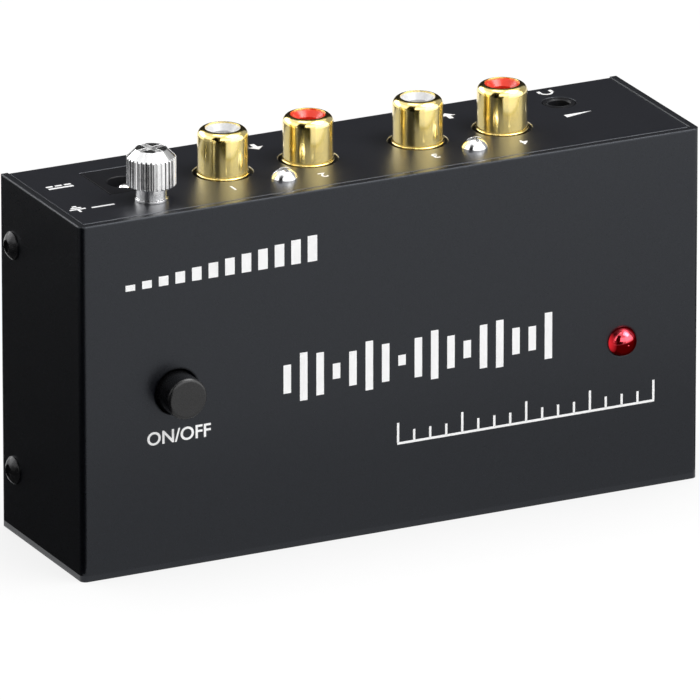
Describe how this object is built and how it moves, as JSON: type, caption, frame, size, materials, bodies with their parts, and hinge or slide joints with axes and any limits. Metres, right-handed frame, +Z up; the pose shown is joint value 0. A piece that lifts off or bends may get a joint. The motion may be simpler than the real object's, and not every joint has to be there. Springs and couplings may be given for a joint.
{
  "type": "phono preamp",
  "caption": "Small folded-steel phono preamp box on its long edge: RCA inputs and outputs, DC inlet, headphone jack, knurled ground screw, push button and red lamp.",
  "frame": {"origin": "centre of the bottom face that the box stands on", "axes": "+X along the box, -Y out of the printed face with button and lamp, +Z up out of the jack panel"},
  "size_m": [0.1136, 0.0358, 0.069],
  "materials": {
    "cover_paint": "fine powder coat, satin",
    "chassis_paint": "smooth satin black coat",
    "black_screw": "black oxide",
    "foot_rubber": "soft matte",
    "zinc": "zinc plated",
    "board": "green solder mask",
    "black_plastic": "moulded, satin",
    "bright_nickel": "bright nickel plate",
    "gold_plate": "polished gold plate",
    "white_plastic": "glossy",
    "red_plastic": "glossy",
    "contact_metal": "plated",
    "green_wire": "PVC sleeve",
    "button_plastic": "satin",
    "lamp_red": "clear red epoxy",
    "sleeve_blue": "shrink sleeve",
    "film_red": "cast box",
    "resistor_body": "lacquer",
    "ferrite": "ferrite"
  },
  "bodies": {
    "root": {"cover": "cover_paint", "chassis": "chassis_paint", "side_screws": "black_screw", "rubber_feet": "foot_rubber", "standoffs": "zinc", "circuit_board": "board", "board_screws": "zinc", "input_jack_block": "black_plastic", "output_jack_block": "black_plastic", "panel_screws": "bright_nickel", "input_left_shell": "gold_plate", "input_right_shell": "gold_plate", "output_left_shell": "gold_plate", "output_right_shell": "gold_plate", "input_left_insulator": "white_plastic", "input_right_insulator": "red_plastic", "output_left_insulator": "white_plastic", "output_right_insulator": "red_plastic", "input_left_contact": "contact_metal", "input_right_contact": "contact_metal", "output_left_contact": "contact_metal", "output_right_contact": "contact_metal", "dc_inlet_body": "black_plastic", "dc_inlet_pin": "bright_nickel", "dc_inlet_spring": "zinc", "headphone_jack_body": "black_plastic", "headphone_jack_contacts": "contact_metal", "ground_nut": "zinc", "ground_lug": "zinc", "ground_wire": "green_wire", "switch_housing": "black_plastic", "switch_base": "contact_metal", "switch_spring": "zinc", "lamp_lens": "lamp_red", "lamp_leads": "zinc", "lamp_spacer": "white_plastic", "amplifier_chips": "black_plastic", "large_capacitors": "sleeve_blue", "small_capacitors": "sleeve_blue", "film_capacitors": "film_red", "resistors": "resistor_body", "voltage_regulator": "black_plastic", "power_choke": "ferrite", "power_diode": "black_plastic"},
    "ground_washer": {"ground_washer": "bright_nickel"},
    "ground_thumbscrew": {"ground_thumbscrew": "bright_nickel"},
    "power_button": {"power_button": "button_plastic", "switch_plunger": "white_plastic"}
  },
  "joints": [
    {"name": "power_button_press", "type": "slide", "parent": "root", "child": "power_button", "axis": [0, 1, 0], "range_m": [0, 0.003], "stiffness_N_per_m": 250, "springref_m": -0.003, "deforming": ["switch_spring"]},
    {"name": "ground_screw_lift", "type": "slide", "parent": "root", "child": "ground_washer", "axis": [0, 0, 1], "range_m": [0, 0.003]},
    {"name": "ground_screw_turn", "type": "hinge", "parent": "ground_washer", "child": "ground_thumbscrew", "pos_m": [-0.0393, -0.007, 0.0603], "axis": [0, 0, 1], "range_deg": [0, 2160]}
  ],
  "couplings": [
    {"joint": "ground_screw_turn", "follows": "ground_screw_lift", "rad_per_m": 12566}
  ]
}
